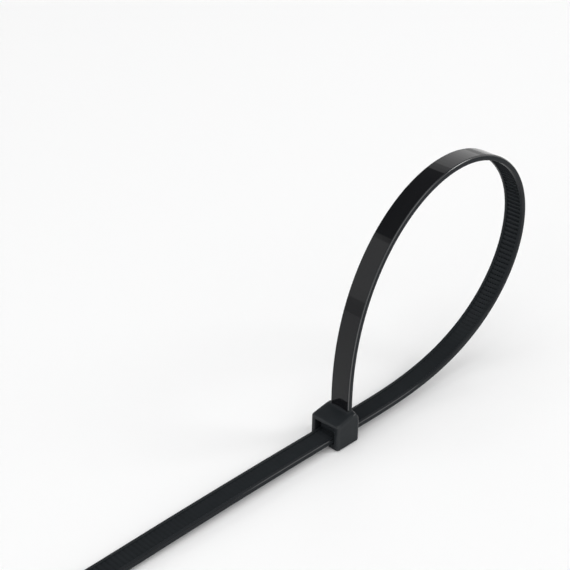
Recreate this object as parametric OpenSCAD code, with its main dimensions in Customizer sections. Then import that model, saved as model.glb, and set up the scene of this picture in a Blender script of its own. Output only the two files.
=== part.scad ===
// Nylon cable tie, drawn up in a loop and standing on its head with the tail laid out.
// Lengths are in millimetres. The tail runs towards -X, the loop stands towards +X, and Z = 0 is the floor.

/* [Strap] */
// width of the strap
strap_w = 4.8; // [4.4:0.1:6]
// thickness of the strap over its rails
strap_t = 1.2; // [1.1:0.05:1.5]
// rounding of the two edges on the smooth outer face
edge_r = 0.3; // [0.15:0.05:0.45]
// bevel of the two edges on the toothed inner face
inner_bevel = 0.15; // [0.05:0.05:0.3]
// width of the toothed channel between the two rails
channel_w = 3.5; // [2.6:0.1:3.7]
// distance from one tooth to the next
tooth_pitch = 1.0; // [0.8:0.05:1.4]
// height of a tooth from root to tip
tooth_h = 0.34; // [0.26:0.02:0.44]
// steep side of a tooth, as a share of the pitch
steep_share = 0.15; // [0.1:0.01:0.2]
// how far the tooth tips lie below the face of the rails
tip_sink = 0.05; // [0.03:0.01:0.12]
// strap without teeth between the root and the first tooth
plain_root = 6; // [2:0.5:12]
// strap without teeth at the tip
plain_tip = 22; // [15:1:40]

/* [Loop] */
// length of strap in the bent part of the loop
loop_l = 155; // [140:5:260]
// place of the tightest bend, as a share of the bent length
tight_share = 0.546; // [0.5:0.002:0.57]
// bend at the root, as a share of the tightest bend
root_bend_share = 0.26; // [0.2:0.01:0.32]

/* [Tail] */
// length of tail past the head, tip included
tail_l = 128; // [115:1:220]
// run over which the tail comes down to the floor
settle_l = 98; // [60:1:100]
// length of the tapered tip
tip_l = 12; // [6:1:14]
// width of the tip at its rounded end
tip_w = 2.2; // [1.4:0.1:3]
// rounding of the tip, as a share of its width
tip_round_share = 0.45; // [0.2:0.05:0.45]

/* [Head] */
// width of the head, across the strap
head_w = 7.5; // [7:0.1:9]
// length of the head, along the slot
head_l = 6.2; // [5.9:0.1:7.5]
// height of the head where the strap leaves it
head_h = 6.65; // [6.4:0.05:7.5]
// fall of the top face from the strap to the exit side
top_fall = 0.9; // [0.5:0.05:1.1]
// rounding of the upright corners
corner_r = 0.6; // [0.3:0.05:0.8]
// rounding of the two long edges of the top face
crown_r = 1.1; // [0.5:0.05:1.3]
// rounding of the top edge over the exit and of the edges of the foot
rim_r = 0.35; // [0.2:0.05:0.5]
// height over which the shoulders draw in to the strap
neck_h = 0.9; // [0.7:0.05:1.4]
// hollow where the strap's smooth face meets the top face
neck_r = 0.8; // [0.4:0.05:1]
// height at which the entry side starts to lean in
cheek_h = 5.3; // [4.8:0.1:5.6]
// rounding where the entry side starts to lean in
cheek_r = 3; // [1:0.1:4]
// distance from the entry side to the strap's inner face
root_back = 0.84; // [0.6:0.02:1]
// thickness of the floor under the slot
sill_t = 1.3; // [1:0.05:1.5]
// clearance of the strap in the slot, on each side
slot_gap = 0.12; // [0.08:0.01:0.2]
// bevel of the slot at the entry side
lead_in = 0.35; // [0.1:0.05:0.5]
// thickness of the wall above the exit window
brow_t = 0.8; // [0.6:0.05:1]
// thickness of the wall that carries the pawl, on the entry side
hinge_wall = 1.3; // [1:0.05:1.5]

/* [Pawl] */
// length of the pawl from the hinge wall to its free end
pawl_l = 3.6; // [3.2:0.05:3.8]
// height of the pawl at its free end
pawl_h = 0.95; // [0.7:0.05:1.1]
// bevel of the pawl's free end
pawl_bevel = 0.25; // [0.1:0.05:0.3]
// length of the hinge
hinge_l = 0.5; // [0.3:0.05:0.6]
// thickness of the hinge
hinge_t = 0.6; // [0.4:0.05:0.7]
// height of the hinge above the slot
hinge_rise = 0.3; // [0.2:0.05:0.4]
// slit between the pawl and each side wall
pawl_slit = 0.3; // [0.2:0.05:0.5]
// clearance between the teeth of pawl and strap
mesh_gap = 0.08; // [0.06:0.01:0.12]

/* [Hidden] */
// Number of steps in the loop and in each half of the tail's S.
loop_steps = 72;
settle_steps = 3;
// The strap turns back through this angle from its root to the slot.
turn = 270;
// How far cutting bodies reach past what they cut, and a length past everything.
slack = 1;
far = 40;
// How deep the strap's root, the pawl's hinge and other bodies run into what carries them.
root_in = 0.5;
hinge_in = 0.4;
bite = 0.15;
// How far a face stands off from a face of another body beside it.
stand_off = 0.05;
// How far the top of the shoulders stays inside the strap.
skin = 0.08;
// The ledge is the top face beside the strap. Its round edge takes at most this share of it. The nook
// between ledge and shoulder lies so far out, so far up and is so round, as shares of the ledge.
crown_share = 0.85;
nook_out = 0.1;
nook_up = 0.25;
nook_round = 0.3;
steep = steep_share * tooth_pitch;
half_t = strap_t / 2;
half_w = head_w / 2;
half_l = head_l / 2;
strap_z = sill_t + slot_gap + half_t;
slot_top = sill_t + 2 * slot_gap + strap_t;
slot_w = strap_w + 2 * slot_gap;
root_x = half_l - root_back - half_t;
root_z = head_h - root_in;
front_h = head_h - top_fall;
window_top = front_h - brow_t;
neck_z = head_h + neck_h + bite;
top_slope = atan(top_fall / (root_x - half_t + half_l));
neck_top = (neck_z - front_h) * cos(top_slope) - (root_x + half_t + half_l) * sin(top_slope);
ledge = half_w - strap_w / 2;
crown = min(crown_r, crown_share * ledge);
nook_y = strap_w / 2 + nook_out * ledge;
tooth_tip = tip_sink - half_t;
tooth_root = tooth_tip + tooth_h;
pawl_x1 = half_l - hinge_wall;
pawl_x0 = pawl_x1 - pawl_l;
pawl_root = 2 * hinge_l;
pawl_teeth = floor((pawl_l - pawl_root + 2 * steep) / tooth_pitch);

function dir(a) = [cos(a), sin(a)];
function unit(v) = v / norm(v);
function sum(v, i = 0) = i < len(v) ? v[i] + sum(v, i + 1) : 0;

// The strap's middle line is a list of short steps, each [turn to the right in degrees, length].
// In the loop the bend grows evenly from the root to its tightest place, then eases off to the slot.
bend = [for (i = [0:loop_steps - 1]) let(u = (i + 0.5) / loop_steps)
    u < tight_share ?
        root_bend_share + (1 - root_bend_share) * u / tight_share :
        (1 - u) / (1 - tight_share)];
bend_sum = sum(bend);
loop_path = [for (b = bend) [turn * b / bend_sum, loop_l / loop_steps]];

// Past the head the tail comes down to the floor in a flat S.
settle_turn = 2 * atan((strap_z - half_t) / settle_l);
settle_arc = settle_l / 2 / sin(settle_turn) * settle_turn * PI / 180;
settle_path = [for (side = [-1, 1]) for (i = [1:settle_steps])
    [side * settle_turn / settle_steps, settle_arc / settle_steps]];

// Stations along a path: [place, heading, length so far].
function after(p, h, g) = g[0] == 0 ? p + g[1] * dir(h) :
    let(r = g[1] / (g[0] * PI / 180)) p + r * (dir(h - 90) + dir(h + 90 - g[0]));
function walk(path, p, h, s = 0, i = 0) = i == len(path) ? [[p, h, s]] :
    concat([[p, h, s]], walk(path, after(p, h, path[i]), h - path[i][0], s + path[i][1], i + 1));

// The straight root takes up what is left between the loop's height and the slot.
loop_end = walk(loop_path, [0, 0], 90)[loop_steps][0];
root_l = strap_z - root_z - loop_end[1];
inner_l = root_x + loop_end[0] + half_l;
path = concat([[0, root_l]], loop_path, [[0, inner_l]], settle_path, [[0, tail_l - settle_l]]);
stations = walk(path, [root_x, root_z], 90);
last = len(stations) - 1;
exit_s = stations[loop_steps + 2][2];
tip_s = stations[last][2];
tip_x = stations[last][0][0];

// Point n out from the middle line towards the smooth face, at a station or at length s.
function out(i, n) = stations[i][0] + n * dir(stations[i][1] + 90);
function at(s, n, i = 0) = i < last - 1 && s > stations[i + 1][2] ? at(s, n, i + 1) :
    let(f = (s - stations[i][2]) / (stations[i + 1][2] - stations[i][2]))
    (1 - f) * out(i, n) + f * out(i + 1, n);

// Outline with rounded corners, each point given as [x, y, radius].
function xy(p) = [p[0], p[1]];
function angle(v) = atan2(v[1], v[0]);
function corner(a, b, c, r, steps = 5) =
    let(
        u = unit(a - b),
        v = unit(c - b),
        half = acos(u * v) / 2,
        m = b + unit(u + v) * r / sin(half),
        a0 = angle(b + u * r / tan(half) - m),
        d = angle(b + v * r / tan(half) - m) - a0,
        sweep = d > 180 ? d - 360 : d < -180 ? d + 360 : d
    )
    [for (i = [0:steps]) m + r * dir(a0 + sweep * i / steps)];
function rounded(v) = [for (i = [0:len(v) - 1])
    let(n = len(v), a = xy(v[(i + n - 1) % n]), b = xy(v[i]), c = xy(v[(i + 1) % n]))
    each v[i][2] > 0 ? corner(a, b, c, v[i][2]) : [b]];

// Half of the strap's section, from the smooth face round to the toothed face: [out, across].
half_section = concat(
    [for (i = [0:2]) [half_t - edge_r, strap_w / 2 - edge_r] + edge_r * dir(45 * i)],
    [
        [inner_bevel - half_t, strap_w / 2],
        [-half_t, strap_w / 2 - inner_bevel]
    ]
);
half_n = len(half_section);
section = concat(half_section, [for (i = [half_n - 1:-1:0]) [half_section[i][0], -half_section[i][1]]]);

// The strap is that section carried along its path.
module strap_body() {
    n = len(section);
    points = [for (i = [0:last]) for (q = section) let(p = out(i, q[0])) [p[0], p[1], q[1]]];
    sides = [for (i = [0:last - 1]) for (j = [0:n - 1]) let(a = i * n + j, b = i * n + (j + 1) % n)
        [b, a, a + n, b + n]];
    ends = [[for (j = [0:n - 1]) j], [for (j = [n - 1:-1:0]) j + last * n]];
    polyhedron(points = points, faces = concat(sides, ends), convexity = 8);
}

// The channel in the toothed face, between the two rails. Its floor is a row of saw teeth, steep
// towards the root.
// They stand in step with the pawl, so their count runs both ways from its free end.
mesh_s = exit_s - half_l - pawl_x0 - steep;
first_tooth = -floor((mesh_s - plain_root) / tooth_pitch);
last_tooth = floor((tip_s - plain_tip - mesh_s) / tooth_pitch);
module channel() {
    first_s = mesh_s + first_tooth * tooth_pitch;
    last_s = mesh_s + last_tooth * tooth_pitch + steep;
    clear_n = -half_t - slack;
    saw = [for (k = [first_tooth:last_tooth]) let(s = mesh_s + k * tooth_pitch)
        each [at(s, tooth_root), at(s + steep, tooth_tip)]];
    clear = [for (i = [last:-1:0]) let(s = stations[i][2]) if (s > first_s && s < last_s) out(i, clear_n)];
    linear_extrude(height = channel_w, center = true)
        polygon(concat(saw, [at(last_s, clear_n)], clear, [at(first_s, clear_n)]));
}

// What is cut away beside the tapered tip.
module tip_waste() {
    w = strap_w / 2;
    tip_r = tip_round_share * tip_w;
    rotate([90, 0, 0])
        linear_extrude(height = far, center = true)
            translate([tip_x, 0])
                difference() {
                    translate([-slack, -w - slack])
                        square([tip_l + slack, strap_w + 2 * slack]);
                    polygon(rounded([
                        [0, -tip_w / 2, tip_r],
                        [tip_l, -w, 0],
                        [tip_l + slack, -w, 0],
                        [tip_l + slack, w, 0],
                        [tip_l, w, 0],
                        [0, tip_w / 2, tip_r]
                    ]));
                }
}

module strap() {
    difference() {
        strap_body();
        channel();
        tip_waste();
    }
}

// The head without its slot, as its outlines from four sides cut it.
module block() {
    n = strap_w / 2 - skin;
    intersection() {
        // From the side: the sloping top, the hollow at the strap and the entry side that leans in.
        linear_extrude(height = head_w + slack, center = true)
            polygon(rounded([
                [-half_l, 0, rim_r],
                [half_l, 0, rim_r],
                [half_l, cheek_h, cheek_r],
                [root_x + half_t - skin, neck_z, 0],
                [root_x - half_t + skin, neck_z, 0],
                [root_x - half_t, head_h, neck_r],
                [-half_l, front_h, rim_r]
            ]));
        // Along the slope of the top: its round edges, and the shoulders that draw in to the strap.
        translate([-half_l, front_h])
            rotate(top_slope)
                rotate([0, 90, 0])
                    linear_extrude(height = far, center = true)
                        polygon(rounded([
                            [-half_w, -far, 0],
                            [half_w, -far, 0],
                            [half_w, stand_off, crown],
                            [nook_y, nook_up * ledge, nook_round * ledge],
                            [n, neck_top, 0],
                            [n, far, 0],
                            [-n, far, 0],
                            [-n, neck_top, 0],
                            [-nook_y, nook_up * ledge, nook_round * ledge],
                            [-half_w, stand_off, crown]
                        ]));
        // From the front: the edges of the foot.
        rotate([0, 90, 0])
            linear_extrude(height = far, center = true)
                polygon(rounded([
                    [-half_w, 0, rim_r],
                    [half_w, 0, rim_r],
                    [half_w, far, 0],
                    [-half_w, far, 0]
                ]));
        // From above: the upright corners.
        rotate([90, 0, 0])
            linear_extrude(height = far, center = true)
                polygon(rounded([
                    [-half_l, -half_w, corner_r],
                    [half_l, -half_w, corner_r],
                    [half_l, half_w, corner_r],
                    [-half_l, half_w, corner_r]
                ]));
    }
}

// The slot for the tail, with a bevelled entry, and the pawl's chamber over it.
module slot() {
    lead = lead_in + slack;
    linear_extrude(height = slot_w, center = true)
        polygon([
            [-half_l - slack, sill_t],
            [half_l - lead_in, sill_t],
            [half_l + slack, sill_t - lead],
            [half_l + slack, slot_top + lead],
            [half_l - lead_in, slot_top],
            [pawl_x1, slot_top],
            [pawl_x1, window_top],
            [-half_l - slack, window_top]
        ]);
}

// The pawl: a short arm on a thin hinge, whose free end points the way the tail goes.
module pawl() {
    hinge_z = slot_top + hinge_rise;
    top_z = slot_top + pawl_h;
    linear_extrude(height = slot_w - 2 * pawl_slit, center = true)
        polygon([
            [pawl_x1 + hinge_in, hinge_z],
            [pawl_x1 - hinge_l, hinge_z],
            [pawl_x1 - pawl_root, slot_top],
            [pawl_x0, slot_top],
            [pawl_x0, top_z - pawl_bevel],
            [pawl_x0 + pawl_bevel, top_z],
            [pawl_x1 - pawl_root, top_z + bite],
            [pawl_x1 - hinge_l, hinge_z + hinge_t],
            [pawl_x1 + hinge_in, hinge_z + hinge_t]
        ]);
    linear_extrude(height = channel_w - 2 * slot_gap, center = true)
        for (k = [0:pawl_teeth - 1])
            translate([pawl_x0 + k * tooth_pitch + steep + mesh_gap, strap_z + mesh_gap])
                polygon([
                    [0, -tooth_root],
                    [-steep, -tooth_tip],
                    [-steep, slot_top + bite - strap_z],
                    [tooth_pitch - 2 * steep, slot_top + bite - strap_z],
                    [tooth_pitch - 2 * steep, -tooth_tip]
                ]);
}

module head() {
    difference() {
        block();
        slot();
    }
    pawl();
}

module cable_tie() {
    color([0.12, 0.12, 0.13])
        rotate([90, 0, 0]) {
            strap();
            head();
        }
}

cable_tie();
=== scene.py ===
import cmath
import math
import bmesh
import bpy
from mathutils import Matrix, Vector


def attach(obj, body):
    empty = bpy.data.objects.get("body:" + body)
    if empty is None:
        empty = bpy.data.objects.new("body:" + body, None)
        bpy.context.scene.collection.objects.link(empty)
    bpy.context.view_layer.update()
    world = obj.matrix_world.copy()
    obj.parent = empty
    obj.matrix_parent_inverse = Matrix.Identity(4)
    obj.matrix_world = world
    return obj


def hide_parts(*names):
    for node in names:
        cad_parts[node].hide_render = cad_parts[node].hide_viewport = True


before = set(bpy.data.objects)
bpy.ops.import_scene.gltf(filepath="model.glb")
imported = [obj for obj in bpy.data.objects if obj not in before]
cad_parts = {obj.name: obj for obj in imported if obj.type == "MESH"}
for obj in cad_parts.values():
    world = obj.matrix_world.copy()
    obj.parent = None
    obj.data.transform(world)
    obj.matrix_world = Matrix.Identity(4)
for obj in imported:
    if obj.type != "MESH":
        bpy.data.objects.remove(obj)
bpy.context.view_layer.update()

# The camera stands in front of the loop and to its left, at a low angle, as the photograph was taken.
# It is placed by where the head's foot shows in the picture, so the tie falls in the same part of the frame.
picture = 570
view_azimuth, view_elevation, view_roll = -45.34, 29.70, 0.73
focal_px = 1364.1
head_px = (321.39, 446.23)
head_offset = -0.003785
view_distance = 0.26951
film_w, nearest, farthest = 36, 0.01, 20
azimuth, elevation, roll = (math.radians(a) for a in (view_azimuth, view_elevation, view_roll))
flat_share = math.cos(elevation)
back = Vector((math.sin(azimuth) * flat_share, -math.cos(azimuth) * flat_share, math.sin(elevation)))
level = Vector((math.cos(azimuth), math.sin(azimuth), 0))
upright = back.cross(level)
right = math.cos(roll) * level + math.sin(roll) * upright
up = math.cos(roll) * upright - math.sin(roll) * level
across = (head_px[0] - picture / 2) * view_distance / focal_px
down = (head_px[1] - picture / 2) * view_distance / focal_px
camera_data = bpy.data.cameras.new("camera")
camera_data.sensor_width = film_w
camera_data.lens = focal_px / picture * film_w
camera_data.clip_start, camera_data.clip_end = nearest, farthest
camera = bpy.data.objects.new("camera", camera_data)
bpy.context.scene.collection.objects.link(camera)
place = Vector((head_offset, 0, 0)) + back * view_distance - right * across + up * down
camera.matrix_world = Matrix.Translation(place) @ Matrix((right, up, back)).transposed().to_4x4()
bpy.context.scene.camera = camera

# The table is a plain sheet of smooth white card that the tie stands on.
# It lies flat and is large enough to fill the picture.
card_w, card_white, card_rough = 4.0, 0.95, 0.7
floor_mesh = bpy.data.meshes.new("floor")
sheet = bmesh.new()
bmesh.ops.create_grid(sheet, x_segments=1, y_segments=1, size=card_w / 2)
sheet.to_mesh(floor_mesh)
sheet.free()
floor = bpy.data.objects.new("floor", floor_mesh)
bpy.context.scene.collection.objects.link(floor)
card = bpy.data.materials.new("white_card")
card.use_nodes = True
card_shader = card.node_tree.nodes["Principled BSDF"]
card_shader.inputs["Base Color"].default_value = (card_white, card_white, card_white, 1)
card_shader.inputs["Roughness"].default_value = card_rough
floor_mesh.materials.append(card)

# The light is a white tent, open in a dark ring high up round it, with a bright sheet overhead.
# Five soft boxes help it: broad ones at the left and in front, a small one at the right, faint ones behind.
tent_lean = math.radians(5.5)
tent_foot, tent_wall, dark_ring, overhead = 0.65, 0.85, 0.17, 1.42
tent_bands = [(0.08, tent_foot), (0.3, tent_wall), (0.655, tent_wall)]
tent_bands += [(0.675, dark_ring), (0.875, dark_ring), (0.89, overhead)]
world = bpy.data.worlds.new("studio")
bpy.context.scene.world = world
bpy.context.scene.view_settings.view_transform = "Standard"
world.use_nodes = True
nodes, links = world.node_tree.nodes, world.node_tree.links
looking = nodes.new("ShaderNodeTexCoord")
lean = nodes.new("ShaderNodeMapping")
lean.inputs["Rotation"].default_value[1] = tent_lean
height = nodes.new("ShaderNodeSeparateXYZ")
tent = nodes.new("ShaderNodeValToRGB")
tent_shades = tent.color_ramp.elements
tent_shades[0].position, tent_shades[0].color = 0, (tent_foot, tent_foot, tent_foot, 1)
tent_shades[1].position, tent_shades[1].color = 1, (overhead, overhead, overhead, 1)
for rise, shade in tent_bands:
    tent_shades.new(rise).color = (shade, shade, shade, 1)
links.new(looking.outputs["Generated"], lean.inputs["Vector"])
links.new(lean.outputs["Vector"], height.inputs["Vector"])
links.new(height.outputs["Z"], tent.inputs["Fac"])
links.new(tent.outputs["Color"], nodes["Background"].inputs["Color"])
nodes["Background"].inputs["Strength"].default_value = 1.0


def soft_box(name, bearing, climb, distance, size, radiance):
    lamp = bpy.data.lights.new(name, "AREA")
    lamp.shape = "RECTANGLE"
    lamp.size, lamp.size_y = size
    lamp.energy = radiance * math.pi * lamp.size * lamp.size_y
    box = bpy.data.objects.new(name, lamp)
    bpy.context.scene.collection.objects.link(box)
    bearing, climb = math.radians(bearing), math.radians(climb)
    flat = distance * math.cos(climb)
    box.location = Vector((math.cos(bearing) * flat, math.sin(bearing) * flat, distance * math.sin(climb)))
    box.rotation_euler = box.location.to_track_quat("Z", "Y").to_euler()


soft_box("soft_box_left", -172, 24, distance=2.0, size=(1.3, 1.4), radiance=1.5)
soft_box("soft_box_front", -105, 45, distance=1.8, size=(1.8, 0.75), radiance=1.0)
soft_box("soft_box_right", -38, 36, distance=1.9, size=(0.6, 0.6), radiance=6.0)
soft_box("soft_box_behind_left", 136, 24, distance=2.0, size=(1.0, 1.2), radiance=0.4)
soft_box("soft_box_behind_right", 42, 24, distance=2.0, size=(1.0, 1.2), radiance=0.5)

# The strap is a flat band of black nylon, moulded in one piece with the head and drawn round into a loop.
# It is swept as one section along its bend. Its outer face is smooth, with rounded edges, and saw teeth
# stand in the channel along its inner face.
strap_w, strap_t = 0.0048, 0.0012
edge_r, inner_bevel, edge_draft = 0.0003, 0.00015, 0.00003
channel_w, channel_draft, channel_ramp = 0.0035, 0.00008, 0.00004
tooth_pitch, tooth_h, tip_sink, steep_share = 0.001, 0.00034, 0.00005, 0.15
plain_root, plain_tip = 0.006, 0.022
loop_l, tight_at, root_bend = 0.155, 0.546, 0.26
full_turn = math.radians(270)
tail_l, settle_l, tail_clear = 0.128, 0.098, 0.000005
tip_l, tip_w, tip_round_share = 0.012, 0.0022, 0.45

# The strap's place follows from the head: its root stands near the entry side of the head's top, its tail
# lies over the sill of the slot, and its teeth stay in step with the pawl's.
head_l, head_h, root_back, root_sunk = 0.0062, 0.00665, 0.00084, 0.0005
sill_t, slot_gap = 0.0013, 0.00012
hinge_wall, pawl_l = 0.0013, 0.0036
half_t = strap_t / 2
strap_z = sill_t + slot_gap + half_t
root_x, root_z = head_l / 2 - root_back - half_t, head_h - root_sunk
bend_share = (tight_at * (1 + root_bend) + 1 - tight_at) / 2


# How far the loop has turned after a share of its length. It is tightest where the two halves meet.
def turned(share):
    if share < tight_at:
        grown = root_bend * share + (1 - root_bend) * share * share / (2 * tight_at)
    else:
        eased = (1 - tight_at) ** 2 - (1 - share) ** 2
        grown = (1 + root_bend) * tight_at / 2 + eased / (2 * (1 - tight_at))
    return full_turn * grown / bend_share


fine = 4000
loop_end = sum(cmath.rect(loop_l / fine, math.pi / 2 - turned((i + 0.5) / fine)) for i in range(fine))
root_l = strap_z - root_z - loop_end.imag
inner_l = root_x + loop_end.real + head_l / 2
exit_at = root_l + loop_l + inner_l
settle_turn = 2 * math.atan((strap_z - half_t - tail_clear) / settle_l)
settle_arc = settle_l / 2 / math.sin(settle_turn) * settle_turn
end_at = exit_at + 2 * settle_arc + tail_l - settle_l


# The way the strap runs at a place along it: up from the root, round the loop, then down to the table.
def heading(at):
    settled = (at - exit_at) / settle_arc
    drop = max(0, min(settled, 2 - settled))
    return math.pi / 2 - turned(min(max((at - root_l) / loop_l, 0), 1)) + settle_turn * drop


# Each stop of the sweep is a place along the strap and the height of the channel's floor there.
steep = steep_share * tooth_pitch
mesh_at = exit_at - head_l / 2 - (head_l / 2 - hinge_wall - pawl_l) - steep
first_tooth = -math.floor((mesh_at - plain_root) / tooth_pitch)
last_tooth = math.floor((end_at - plain_tip - mesh_at) / tooth_pitch)
tooth_tip = tip_sink - half_t
tooth_root = tooth_tip + tooth_h
teeth_from, teeth_to = mesh_at + first_tooth * tooth_pitch, mesh_at + last_tooth * tooth_pitch + steep
root_stops = 6
stops = [(teeth_from * i / root_stops, -half_t) for i in range(1, root_stops)]
stops.append((teeth_from - channel_ramp, -half_t))
for k in range(first_tooth, last_tooth + 1):
    root_at = mesh_at + k * tooth_pitch
    stops += [(root_at, tooth_root), (root_at + steep, tooth_tip)]
plain_from = teeth_to + channel_ramp
stops.append((plain_from, -half_t))
for gone in (0.25, 0.45, 0.6, 0.7, 0.8, 0.9, 0.96, 0.975, 0.985, 0.992, 0.997, 1):
    stops.append((plain_from + (end_at - plain_from) * gone, -half_t))

# The section stands at the root: n is the height towards the smooth outer face, y runs across.
hair, bevel_reach, burnish_reach = 1e-7, inner_bevel + 0.00001, 0.75 * edge_r
strap_mesh = bpy.data.meshes.new("strap")
band = bmesh.new()
channel_floor = band.verts.layers.int.new("channel_floor")
smooth_side = band.verts.layers.int.new("smooth_side")
rounded_edge = band.verts.layers.int.new("rounded_edge")
half_section = [(half_t, strap_w / 2 - edge_draft), (0, strap_w / 2), (-half_t, strap_w / 2 - edge_draft)]
half_section += [(-half_t, channel_w / 2), (-half_t, channel_w / 2 - channel_draft)]
section = half_section + [(n, -y) for n, y in reversed(half_section)]
corners = [band.verts.new((root_x - n, y, root_z)) for n, y in section]
band.faces.new(corners)
bmesh.ops.bevel(
    band, geom=[corners[0], corners[-1]], offset=edge_r, offset_type="OFFSET", affect="VERTICES",
    segments=6, profile=0.5, material=-1,
)
inner_x = root_x + half_t
inner_corners = [
    v for v in band.verts if abs(v.co.x - inner_x) < hair and abs(v.co.y) > strap_w / 2 - inner_bevel
]
bmesh.ops.bevel(
    band, geom=inner_corners, offset=inner_bevel, offset_type="OFFSET", affect="VERTICES",
    segments=3, profile=0.5, material=-1,
)
for v in band.verts:
    n, y = root_x - v.co.x, abs(v.co.y)
    on_inner_bevel = y > strap_w / 2 - bevel_reach and n < bevel_reach - half_t
    v[channel_floor] = y < (channel_w - channel_draft) / 2 and n < 0
    v[smooth_side] = n > half_t - hair or on_inner_bevel
    v[rounded_edge] = y > strap_w / 2 - burnish_reach and n > half_t - burnish_reach

# The sweep turns the section a little at each stop, moves the channel's floor and narrows the tip.
least_turn, tip_r = 1e-9, tip_round_share * tip_w
ring = list(band.edges)
at, floor_n = 0, -half_t
spot, way = complex(root_x, root_z), heading(0)
for stop, next_floor in stops:
    run, turn = stop - at, heading(at) - heading(stop)
    if abs(turn) > least_turn:
        centre = spot + run / turn * cmath.rect(1, way - math.pi / 2)
        moved = Vector()
        spot = centre + (spot - centre) * cmath.rect(1, -turn)
    else:
        centre, step = spot, cmath.rect(run, way)
        moved = Vector((step.real, 0, step.imag))
        spot += step
    swept = bmesh.ops.spin(
        band, geom=ring, cent=(centre.real, 0, centre.imag), axis=(0, 1, 0), dvec=moved,
        angle=turn, steps=1, use_merge=False, use_duplicate=False,
    )["geom_last"]
    ring = [e for e in swept if isinstance(e, bmesh.types.BMEdge)]
    ring_verts = [v for v in swept if isinstance(v, bmesh.types.BMVert)]
    way -= turn
    out = cmath.rect(1, way + math.pi / 2)
    lift = Vector((out.real, 0, out.imag)) * (next_floor - floor_n)
    bmesh.ops.translate(band, vec=lift, verts=[v for v in ring_verts if v[channel_floor]])
    left = end_at - stop
    if left < tip_l:
        width = tip_w / 2 + (strap_w - tip_w) / 2 * left / tip_l
        if left < tip_r:
            width = tip_w / 2 - tip_r + math.sqrt(max(0, tip_r ** 2 - (tip_r - left) ** 2))
        widest = max(abs(v.co.y) for v in ring_verts)
        bmesh.ops.scale(band, vec=(1, width / widest, 1), verts=ring_verts)
    at, floor_n = stop, next_floor
bmesh.ops.contextual_create(band, geom=ring)
bmesh.ops.recalc_face_normals(band, faces=band.faces)
polished, satin, burnished = range(3)
blunt_half, sharp_from = 0.1 * strap_w, math.radians(28)
for f in band.faces:
    f.smooth = True
    f.material_index = polished if all(v[smooth_side] for v in f.verts) else satin
    if all(v[rounded_edge] for v in f.verts) and min(abs(v.co.y) for v in f.verts) > blunt_half:
        f.material_index = burnished
for e in band.edges:
    if len(e.link_faces) == 2 and e.calc_face_angle() > sharp_from:
        e.smooth = False
band.to_mesh(strap_mesh)
band.free()
strap = bpy.data.objects.new("strap", strap_mesh)
bpy.context.scene.collection.objects.link(strap)
even_faces = strap.modifiers.new("even_faces", "WEIGHTED_NORMAL")
even_faces.keep_sharp = True
even_faces.weight = 100
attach(strap, "root")
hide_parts("cable_tie")


# Moulded nylon is never quite even: a faint swell from cooling, and a fine grain from the mould's steel.
skin = bpy.data.node_groups.new("moulded_skin", "ShaderNodeTree")
skin_inputs = {"Swell Size": 260.0, "Grain Size": 9000.0, "Cloud Size": 420.0, "Grain Share": 0.1}
for socket, start in skin_inputs.items():
    skin.interface.new_socket(socket, in_out="INPUT", socket_type="NodeSocketFloat").default_value = start
for socket in ("Tone", "Gloss", "Height"):
    skin.interface.new_socket(socket, in_out="OUTPUT", socket_type="NodeSocketFloat")
nodes, links = skin.nodes, skin.links
given, shown = nodes.new("NodeGroupInput"), nodes.new("NodeGroupOutput")
where = nodes.new("ShaderNodeTexCoord")
swell, grain, clouds = (nodes.new("ShaderNodeTexNoise") for _ in range(3))
for noise, scale, detail in ((swell, "Swell Size", 1), (grain, "Grain Size", 3), (clouds, "Cloud Size", 4)):
    noise.inputs["Detail"].default_value = detail
    links.new(given.outputs[scale], noise.inputs["Scale"])
    links.new(where.outputs["Object"], noise.inputs["Vector"])
blend = nodes.new("ShaderNodeMix")
links.new(given.outputs["Grain Share"], blend.inputs["Factor"])
links.new(swell.outputs["Fac"], blend.inputs["A"])
links.new(grain.outputs["Fac"], blend.inputs["B"])
links.new(blend.outputs["Result"], shown.inputs["Height"])
links.new(clouds.outputs["Fac"], shown.inputs["Tone"])
links.new(grain.outputs["Fac"], shown.inputs["Gloss"])

# A finish is told by its darkest and palest colour, its least and most roughness, how much it mirrors, and
# how deep its skin is. A burnished place has a second, harder gloss over that.
burnish_rough, burnish_index = 0.08, 1.75


def nylon(name, colours, rough, sheen, depth, grain_share, burnish=0):
    stuff = bpy.data.materials.new(name)
    stuff.use_nodes = True
    nodes, links = stuff.node_tree.nodes, stuff.node_tree.links
    shader = nodes["Principled BSDF"]
    shader.inputs["Specular IOR Level"].default_value = sheen
    shader.inputs["Coat Weight"].default_value = burnish
    shader.inputs["Coat Roughness"].default_value = burnish_rough
    shader.inputs["Coat IOR"].default_value = burnish_index
    surface = nodes.new("ShaderNodeGroup")
    surface.node_tree = skin
    surface.inputs["Grain Share"].default_value = grain_share
    tone = nodes.new("ShaderNodeMix")
    tone.data_type = "RGBA"
    tone.inputs["A"].default_value, tone.inputs["B"].default_value = ((*colour, 1) for colour in colours)
    links.new(surface.outputs["Tone"], tone.inputs["Factor"])
    links.new(tone.outputs["Result"], shader.inputs["Base Color"])
    gloss = nodes.new("ShaderNodeMapRange")
    gloss.inputs["To Min"].default_value, gloss.inputs["To Max"].default_value = rough
    links.new(surface.outputs["Gloss"], gloss.inputs["Value"])
    links.new(gloss.outputs["Result"], shader.inputs["Roughness"])
    bump = nodes.new("ShaderNodeBump")
    bump.inputs["Distance"].default_value = depth
    links.new(surface.outputs["Height"], bump.inputs["Height"])
    links.new(bump.outputs["Normal"], shader.inputs["Normal"])
    return stuff


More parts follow.
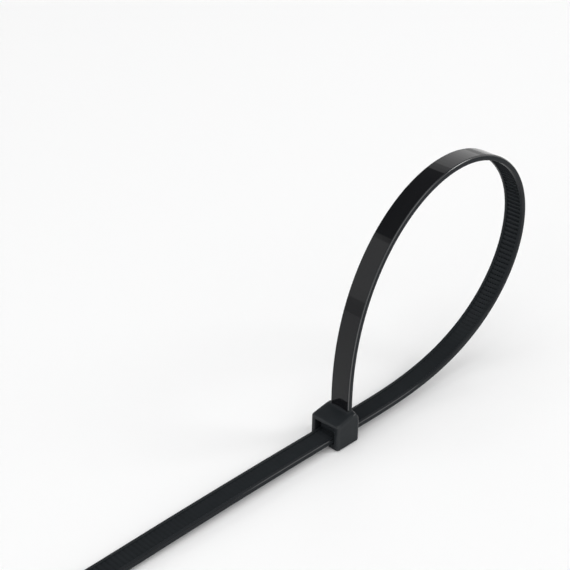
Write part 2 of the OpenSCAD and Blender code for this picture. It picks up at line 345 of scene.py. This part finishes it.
polished_black = (0.004, 0.0043, 0.0053), (0.0062, 0.0066, 0.0078)
satin_black = (0.015, 0.0175, 0.0195), (0.0195, 0.022, 0.0245)
polished_nylon = nylon(
    "polished_nylon", polished_black, rough=(0.05, 0.08), sheen=0.27, depth=0.000005, grain_share=0.01
)
satin_nylon = nylon(
    "satin_nylon", satin_black, rough=(0.24, 0.34), sheen=0.05, depth=0.00001, grain_share=0.06
)
burnished_edge = nylon(
    "burnished_edge", polished_black, rough=(0.08, 0.14), sheen=0.3, depth=0.000005, grain_share=0.01,
    burnish=1,
)
for nylon_finish in (polished_nylon, satin_nylon, burnished_edge):
    strap_mesh.materials.append(nylon_finish)

# The head is a block of the same nylon with the slot for the tail right through it. The strap's root
# grows out of its shoulders. Its edges are softly rounded, as they come from the mould.
head_w, block_top = 0.0075, 0.0056
foot_edge_z, window_top = 0.0006, 0.00495
brow_x, shoulder_x, middle_y = -0.0021, 0.0003, 0.0017
exit_x, entry_x, face_x = -head_l / 2, head_l / 2, root_x - half_t
slot_y, slot_top = strap_w / 2 + slot_gap, sill_t + 2 * slot_gap + strap_t
head_mesh = bpy.data.meshes.new("head")
block = bmesh.new()
crease = block.edges.layers.float.new("crease_edge")
bmesh.ops.create_cube(block, size=1)
bmesh.ops.scale(block, vec=(head_l, head_w, block_top), verts=block.verts)
bmesh.ops.translate(block, vec=(0, 0, block_top / 2), verts=block.verts)
cuts = [((x, 0, 0), (1, 0, 0)) for x in (brow_x, shoulder_x, face_x, inner_x)]
cuts += [((0, y, 0), (0, 1, 0)) for y in (-slot_y, -middle_y, middle_y, slot_y)]
cuts += [((0, 0, z), (0, 0, 1)) for z in (foot_edge_z, sill_t, slot_top, window_top)]
for cut_at, normal in cuts:
    bmesh.ops.bisect_plane(
        block, geom=[*block.verts, *block.edges, *block.faces], plane_co=cut_at, plane_no=normal, dist=hair
    )


def patch(x=(-1, 1), y=(-1, 1), z=(-1, 1)):
    return [
        f for f in block.faces if all(lo < c < hi for (lo, hi), c in zip((x, y, z), f.calc_center_median()))
    ]


def crease_rim(faces, amount):
    for e in {e for f in faces for e in f.edges}:
        if sum(f in faces for f in e.link_faces) == 1:
            e[crease] = amount


neck_face = patch(x=(face_x, inner_x), y=(-slot_y, slot_y), z=(block_top - hair, 1))
exit_faces = patch(x=(-1, exit_x + hair), y=(-slot_y, slot_y), z=(sill_t, window_top))
entry_faces = patch(x=(entry_x - hair, 1), y=(-slot_y, slot_y), z=(sill_t, slot_top))
rim_crease = 0.5
crease_rim(exit_faces, rim_crease)
crease_rim(entry_faces, rim_crease)

# The top slopes up to the strap and falls off again on the entry side, which leans in.
# Each place along it has a height in the middle and one at the two sides.
entry_lean = 0.0002
crest = {
    exit_x: (0.00575, 0.00575), brow_x: (0.00597, 0.00597), shoulder_x: (0.00648, 0.00648),
    face_x: (0.00665, 0.00662), inner_x: (0.00695, 0.00672), entry_x: (0.00615, 0.0060),
}
for v in block.verts:
    if v.co.z > block_top - hair:
        near = min(crest, key=lambda x: abs(x - v.co.x))
        v.co.z = crest[near][0] if abs(v.co.y) < slot_y + hair else crest[near][1]
        if near == entry_x:
            v.co.x -= entry_lean

# The neck rises from the top as a collar round the strap, and closes inside the strap as a thinner stem.
collar_z, corner_thin, corner_narrow = 0.0073, 0.00012, 0.00004
middle_thick, middle_half = 0.00003, 0.0018
stem_z, stem_thick_share, stem_wide_share = 0.0084, 0.7, 0.96
raised = bmesh.ops.extrude_face_region(block, geom=neck_face)["geom"]
bmesh.ops.delete(block, geom=[f for f in neck_face if f.is_valid], context="FACES")
for v in [v for v in raised if isinstance(v, bmesh.types.BMVert)]:
    thick, wide = half_t + middle_thick, middle_half
    if abs(v.co.y) > (middle_y + slot_y) / 2:
        thick, wide = half_t - corner_thin, strap_w / 2 - corner_narrow
    v.co = Vector((root_x + math.copysign(thick, v.co.x - root_x), math.copysign(wide, v.co.y), collar_z))
raised = [f for f in raised if isinstance(f, bmesh.types.BMFace)]
stem = bmesh.ops.extrude_face_region(block, geom=raised)["geom"]
bmesh.ops.delete(block, geom=[f for f in raised if f.is_valid], context="FACES")
for v in [v for v in stem if isinstance(v, bmesh.types.BMVert)]:
    v.co = Vector((root_x + stem_thick_share * (v.co.x - root_x), stem_wide_share * v.co.y, stem_z))

# The chamber runs in from the exit side to the hinge wall; the slot goes on through that wall.
long_edge = 0.0005
chamber = bmesh.ops.extrude_face_region(block, geom=exit_faces)["geom"]
bmesh.ops.delete(block, geom=[f for f in exit_faces if f.is_valid], context="FACES")
inner_wall = [f for f in chamber if isinstance(f, bmesh.types.BMFace)]
for v in [v for v in chamber if isinstance(v, bmesh.types.BMVert)]:
    v.co.x = entry_x - hinge_wall
crease_rim(inner_wall, 1)
through = [f for f in inner_wall if f.calc_center_median().z < slot_top] + entry_faces
rims = {e for f in through for e in f.edges}
bmesh.ops.delete(block, geom=through, context="FACES_ONLY")
bmesh.ops.bridge_loops(block, edges=[e for e in rims if e.is_valid and len(e.link_faces) == 1])
for e in block.edges:
    on_slot_side = all(abs(abs(v.co.y) - slot_y) < hair for v in e.verts)
    in_slot = all(sill_t - hair < v.co.z < window_top + hair for v in e.verts)
    along = abs(e.verts[0].co.x - e.verts[1].co.x) > long_edge
    if on_slot_side and in_slot and along and abs(e.verts[0].co.z - slot_top) > hair:
        e[crease] = rim_crease
bmesh.ops.recalc_face_normals(block, faces=block.faces)
for f in block.faces:
    f.smooth = True
block.to_mesh(head_mesh)
block.free()

# The head is a smoother satin than the strap's sides, and rubbed brighter along its edges.
rub_from, rub_full, rub_most = 0.5015, 0.506, 0.19
head_nylon = nylon("head_nylon", satin_black, rough=(0.2, 0.28), sheen=0.075, depth=0.00001, grain_share=0.06)
nodes, links = head_nylon.node_tree.nodes, head_nylon.node_tree.links
shaped = nodes.new("ShaderNodeNewGeometry")
rubbed = nodes.new("ShaderNodeMapRange")
rubbed.inputs["From Min"].default_value, rubbed.inputs["From Max"].default_value = rub_from, rub_full
rubbed.inputs["To Max"].default_value = rub_most
links.new(shaped.outputs["Pointiness"], rubbed.inputs["Value"])
links.new(rubbed.outputs["Result"], nodes["Principled BSDF"].inputs["Coat Weight"])
head_mesh.materials.append(head_nylon)
head = bpy.data.objects.new("head", head_mesh)
bpy.context.scene.collection.objects.link(head)
rounding = head.modifiers.new("rounding", "SUBSURF")
rounding.levels = rounding.render_levels = 4
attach(head, "root")
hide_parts("cable_tie")

# The pawl is a short arm in the chamber, on a thin hinge from the wall over the slot's entry.
# It is moulded with the head, and its teeth point the way the tail comes out.
pawl_h, pawl_bevel, pawl_crown, pawl_slit, pawl_edge = 0.00095, 0.00025, 0.00015, 0.0003, 0.00005
hinge_long, hinge_t, hinge_rise, hinge_in = 0.0005, 0.0006, 0.0003, 0.0004
mesh_gap, tooth_in = 0.00008, 0.0001
wall_x, free_x = entry_x - hinge_wall, entry_x - hinge_wall - pawl_l
bend_x, arm_x = wall_x - hinge_long, wall_x - 2 * hinge_long
hinge_z, arm_top = slot_top + hinge_rise, slot_top + pawl_h
arm_half, tooth_half = slot_y - pawl_slit, channel_w / 2 - slot_gap
pawl_mesh = bpy.data.meshes.new("pawl")
arm = bmesh.new()


def slab(side, half):
    outline = arm.faces.new([arm.verts.new((x, -half, z)) for x, z in side])
    grown = bmesh.ops.extrude_face_region(arm, geom=[outline])["geom"]
    far_side = [v for v in grown if isinstance(v, bmesh.types.BMVert)]
    bmesh.ops.translate(arm, vec=(0, 2 * half, 0), verts=far_side)


slab([
    (wall_x + hinge_in, hinge_z), (bend_x, hinge_z), (arm_x, slot_top), (free_x, slot_top),
    (free_x, arm_top - pawl_bevel), (free_x + pawl_bevel, arm_top), (arm_x, arm_top + pawl_crown),
    (bend_x, hinge_z + hinge_t), (wall_x + hinge_in, hinge_z + hinge_t),
], arm_half)
bmesh.ops.bevel(
    arm, geom=arm.edges[:], offset=pawl_edge, offset_type="OFFSET", affect="EDGES",
    segments=2, profile=0.5, material=-1,
)
for k in range(math.floor((pawl_l - 2 * hinge_long + 2 * steep) / tooth_pitch)):
    x, z = free_x + k * tooth_pitch + steep + mesh_gap, strap_z + mesh_gap
    slab([
        (x, z - tooth_root), (x - steep, z - tooth_tip), (x - steep, slot_top + tooth_in),
        (x + tooth_pitch - 2 * steep, slot_top + tooth_in), (x + tooth_pitch - 2 * steep, z - tooth_tip),
    ], tooth_half)
bmesh.ops.recalc_face_normals(arm, faces=arm.faces)
arm.to_mesh(pawl_mesh)
arm.free()
pawl_mesh.materials.append(satin_nylon)
pawl = bpy.data.objects.new("pawl", pawl_mesh)
bpy.context.scene.collection.objects.link(pawl)
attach(pawl, "root")
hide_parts("cable_tie")
